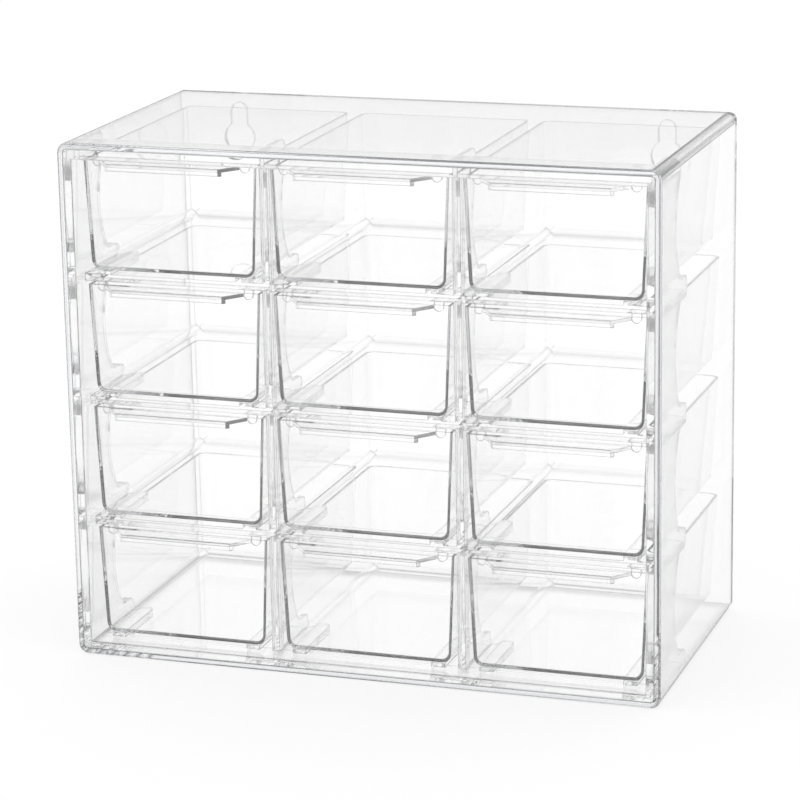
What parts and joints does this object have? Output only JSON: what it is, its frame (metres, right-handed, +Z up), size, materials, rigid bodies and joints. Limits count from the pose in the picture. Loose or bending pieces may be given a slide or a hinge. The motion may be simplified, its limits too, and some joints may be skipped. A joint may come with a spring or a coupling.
{
  "type": "drawer storage box",
  "caption": "Clear plastic desktop organiser: an open-fronted case with keyhole slots behind, a lattice frame in its mouth and sliding tray drawers with pull lips.",
  "frame": {"origin": "middle of the case's flat base, on the surface that it stands on", "axes": "+X to the right seen from the drawer fronts, +Y from the fronts to the back wall, +Z up"},
  "size_m": [0.24, 0.124, 0.208],
  "materials": {
    "clear_case": "clear polished polystyrene",
    "clear_frame": "clear polished polystyrene",
    "clear_drawer": "clear polished polystyrene"
  },
  "bodies": {
    "cabinet": {"case_shell": "clear_case", "front_frame": "clear_frame"},
    "drawer_r1c1": {"drawer_r1c1": "clear_drawer"},
    "drawer_r1c2": {"drawer_r1c2": "clear_drawer"},
    "drawer_r1c3": {"drawer_r1c3": "clear_drawer"},
    "drawer_r2c1": {"drawer_r2c1": "clear_drawer"},
    "drawer_r2c2": {"drawer_r2c2": "clear_drawer"},
    "drawer_r2c3": {"drawer_r2c3": "clear_drawer"},
    "drawer_r3c1": {"drawer_r3c1": "clear_drawer"},
    "drawer_r3c2": {"drawer_r3c2": "clear_drawer"},
    "drawer_r3c3": {"drawer_r3c3": "clear_drawer"},
    "drawer_r4c1": {"drawer_r4c1": "clear_drawer"},
    "drawer_r4c2": {"drawer_r4c2": "clear_drawer"},
    "drawer_r4c3": {"drawer_r4c3": "clear_drawer"}
  },
  "joints": [
    {"name": "drawer_r1c1_slide", "type": "slide", "parent": "cabinet", "child": "drawer_r1c1", "axis": [0, -1, 0], "range_m": [0, 0.092]},
    {"name": "drawer_r1c2_slide", "type": "slide", "parent": "cabinet", "child": "drawer_r1c2", "axis": [0, -1, 0], "range_m": [0, 0.092]},
    {"name": "drawer_r1c3_slide", "type": "slide", "parent": "cabinet", "child": "drawer_r1c3", "axis": [0, -1, 0], "range_m": [0, 0.092]},
    {"name": "drawer_r2c1_slide", "type": "slide", "parent": "cabinet", "child": "drawer_r2c1", "axis": [0, -1, 0], "range_m": [0, 0.092]},
    {"name": "drawer_r2c2_slide", "type": "slide", "parent": "cabinet", "child": "drawer_r2c2", "axis": [0, -1, 0], "range_m": [0, 0.092]},
    {"name": "drawer_r2c3_slide", "type": "slide", "parent": "cabinet", "child": "drawer_r2c3", "axis": [0, -1, 0], "range_m": [0, 0.092]},
    {"name": "drawer_r3c1_slide", "type": "slide", "parent": "cabinet", "child": "drawer_r3c1", "axis": [0, -1, 0], "range_m": [0, 0.092]},
    {"name": "drawer_r3c2_slide", "type": "slide", "parent": "cabinet", "child": "drawer_r3c2", "axis": [0, -1, 0], "range_m": [0, 0.092]},
    {"name": "drawer_r3c3_slide", "type": "slide", "parent": "cabinet", "child": "drawer_r3c3", "axis": [0, -1, 0], "range_m": [0, 0.092]},
    {"name": "drawer_r4c1_slide", "type": "slide", "parent": "cabinet", "child": "drawer_r4c1", "axis": [0, -1, 0], "range_m": [0, 0.092]},
    {"name": "drawer_r4c2_slide", "type": "slide", "parent": "cabinet", "child": "drawer_r4c2", "axis": [0, -1, 0], "range_m": [0, 0.092]},
    {"name": "drawer_r4c3_slide", "type": "slide", "parent": "cabinet", "child": "drawer_r4c3", "axis": [0, -1, 0], "range_m": [0, 0.092]}
  ]
}
